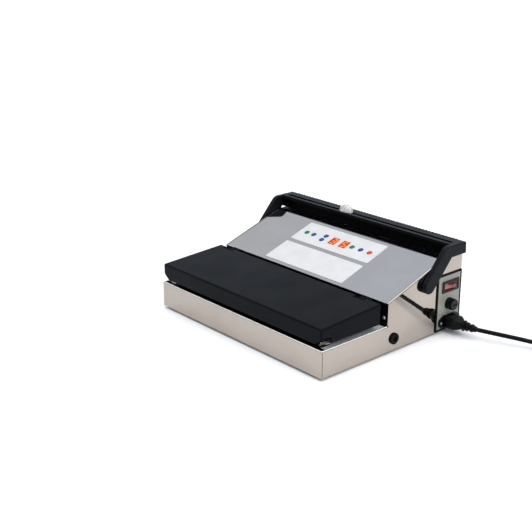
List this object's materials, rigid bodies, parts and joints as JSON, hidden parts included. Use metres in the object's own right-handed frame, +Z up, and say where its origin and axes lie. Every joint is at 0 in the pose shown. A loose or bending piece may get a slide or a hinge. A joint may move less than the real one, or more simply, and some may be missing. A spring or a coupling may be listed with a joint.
{
  "type": "vacuum sealer",
  "caption": "Table-top vacuum sealer: stepped steel body, hinged black lid over a vacuum trough and seal bar, sloping key panel, swing-up handle with sliding bag cutter, mains lead.",
  "frame": {"origin": "on the table, in the middle of the body's plan, midway between the feet", "axes": "+X across the body to the switch side, +Y from the front lid to the back, +Z up"},
  "size_m": [0.6896, 0.5304, 0.1578],
  "materials": {
    "steel_polished": "mirror polished",
    "steel_satin": "satin",
    "spring_steel": "polished",
    "screw_steel": "polished",
    "zinc_plate": "satin zinc",
    "heater_strip": "satin",
    "ptfe_cloth": "smooth coated cloth",
    "lid_black": "satin",
    "handle_black": "satin",
    "black_moulding": "matt",
    "black_gloss": "gloss",
    "bracket_black": "satin",
    "foam_black": "closed-cell foam",
    "silicone_red": "satin",
    "silicone_grey": "satin",
    "rubber_black": "matt",
    "cord_black": "satin",
    "tie_black": "woven",
    "label_white": "satin",
    "display_red": "gloss",
    "key_green": "satin",
    "key_blue": "satin",
    "key_red": "satin",
    "rocker_red": "gloss",
    "knob_clear": "translucent gloss",
    "nylon_white": "satin",
    "plate_grey": "satin",
    "board_green": "solder mask",
    "core_iron": "varnished laminations",
    "pump_aluminium": "cast",
    "fuse_glass": "clear"
  },
  "bodies": {
    "housing": {"base_pan": "steel_polished", "top_cover": "steel_polished", "front_deck": "steel_satin", "vacuum_trough": "black_moulding", "lower_gasket": "foam_black", "seal_bar": "black_moulding", "heating_element": "heater_strip", "ptfe_tape": "ptfe_cloth", "element_clips": "spring_steel", "hinge_brackets": "bracket_black", "hinge_pins": "screw_steel", "control_label": "label_white", "info_label": "label_white", "display_modules": "display_red", "control_board": "board_green", "side_plate": "plate_grey", "side_plate_border": "rubber_black", "switch_housing": "black_gloss", "fuse_holder": "black_gloss", "power_inlet": "black_gloss", "side_plugs": "rubber_black", "feet": "rubber_black", "case_screws": "screw_steel", "handle_bumpers": "rubber_black", "pivot_bushes": "nylon_white", "vacuum_pump": "pump_aluminium", "pump_motor": "zinc_plate", "vacuum_hose": "silicone_grey", "release_valve": "black_moulding", "transformer": "core_iron", "power_board": "board_green", "lid_sensor": "black_moulding", "cord_connector": "cord_black", "power_cord": "cord_black", "cord_coil": "cord_black", "cord_tie": "tie_black", "mains_plug": "cord_black"},
    "lid": {"lid_shell": "lid_black", "lid_inner_plate": "steel_satin", "lid_gasket": "foam_black", "pressure_strip": "silicone_red", "lid_magnet": "zinc_plate"},
    "handle": {"handle_frame": "handle_black", "cutter_rail": "black_moulding", "handle_screws": "screw_steel"},
    "cutter": {"cutter_knob": "knob_clear", "cutter_carriage": "nylon_white", "cutter_blade": "spring_steel"},
    "rocker": {"power_rocker": "rocker_red"},
    "fuse_cap": {"fuse_cap": "black_gloss", "glass_fuse": "fuse_glass"},
    "rotor": {"motor_shaft": "screw_steel", "cooling_fan": "black_moulding"},
    "key_start": {"key_start": "key_green"},
    "key_pulse": {"key_pulse": "key_blue"},
    "key_time_up": {"key_time_up": "key_blue"},
    "key_time_down": {"key_time_down": "key_blue"},
    "key_seal": {"key_seal": "key_green"},
    "key_mode": {"key_mode": "key_blue"},
    "key_stop": {"key_stop": "key_red"}
  },
  "joints": [
    {"name": "lid_hinge", "type": "hinge", "parent": "housing", "child": "lid", "pos_m": [0, -0.034, 0.0813], "axis": [-1, 0, 0], "range_deg": [0, 100]},
    {"name": "handle_swing", "type": "hinge", "parent": "housing", "child": "handle", "pos_m": [0, 0.068, 0.0896], "axis": [1, 0, 0], "range_deg": [0, 90]},
    {"name": "cutter_slide", "type": "slide", "parent": "handle", "child": "cutter", "axis": [1, 0, 0], "range_m": [-0.1365, 0.2195]},
    {"name": "rocker_tilt", "type": "hinge", "parent": "housing", "child": "rocker", "pos_m": [0.187, 0.1264, 0.0768], "axis": [0, 0, 1], "range_deg": [0, 16]},
    {"name": "fuse_cap_turn", "type": "hinge", "parent": "housing", "child": "fuse_cap", "pos_m": [0.198, 0.1247, 0.0474], "axis": [1, 0, 0], "range_deg": [0, 90]},
    {"name": "rotor_spin", "type": "hinge", "parent": "housing", "child": "rotor", "pos_m": [-0.05, 0.0665, 0.048], "axis": [1, 0, 0], "continuous": true},
    {"name": "key_start_press", "type": "slide", "parent": "housing", "child": "key_start", "axis": [0, 0.3215, -0.9469], "range_m": [0, 0.0004], "stiffness_N_per_m": 4000},
    {"name": "key_pulse_press", "type": "slide", "parent": "housing", "child": "key_pulse", "axis": [0, 0.3215, -0.9469], "range_m": [0, 0.0004], "stiffness_N_per_m": 4000},
    {"name": "key_time_up_press", "type": "slide", "parent": "housing", "child": "key_time_up", "axis": [0, 0.3215, -0.9469], "range_m": [0, 0.0004], "stiffness_N_per_m": 4000},
    {"name": "key_time_down_press", "type": "slide", "parent": "housing", "child": "key_time_down", "axis": [0, 0.3215, -0.9469], "range_m": [0, 0.0004], "stiffness_N_per_m": 4000},
    {"name": "key_seal_press", "type": "slide", "parent": "housing", "child": "key_seal", "axis": [0, 0.3215, -0.9469], "range_m": [0, 0.0004], "stiffness_N_per_m": 4000},
    {"name": "key_mode_press", "type": "slide", "parent": "housing", "child": "key_mode", "axis": [0, 0.3215, -0.9469], "range_m": [0, 0.0004], "stiffness_N_per_m": 4000},
    {"name": "key_stop_press", "type": "slide", "parent": "housing", "child": "key_stop", "axis": [0, 0.3215, -0.9469], "range_m": [0, 0.0004], "stiffness_N_per_m": 4000}
  ]
}
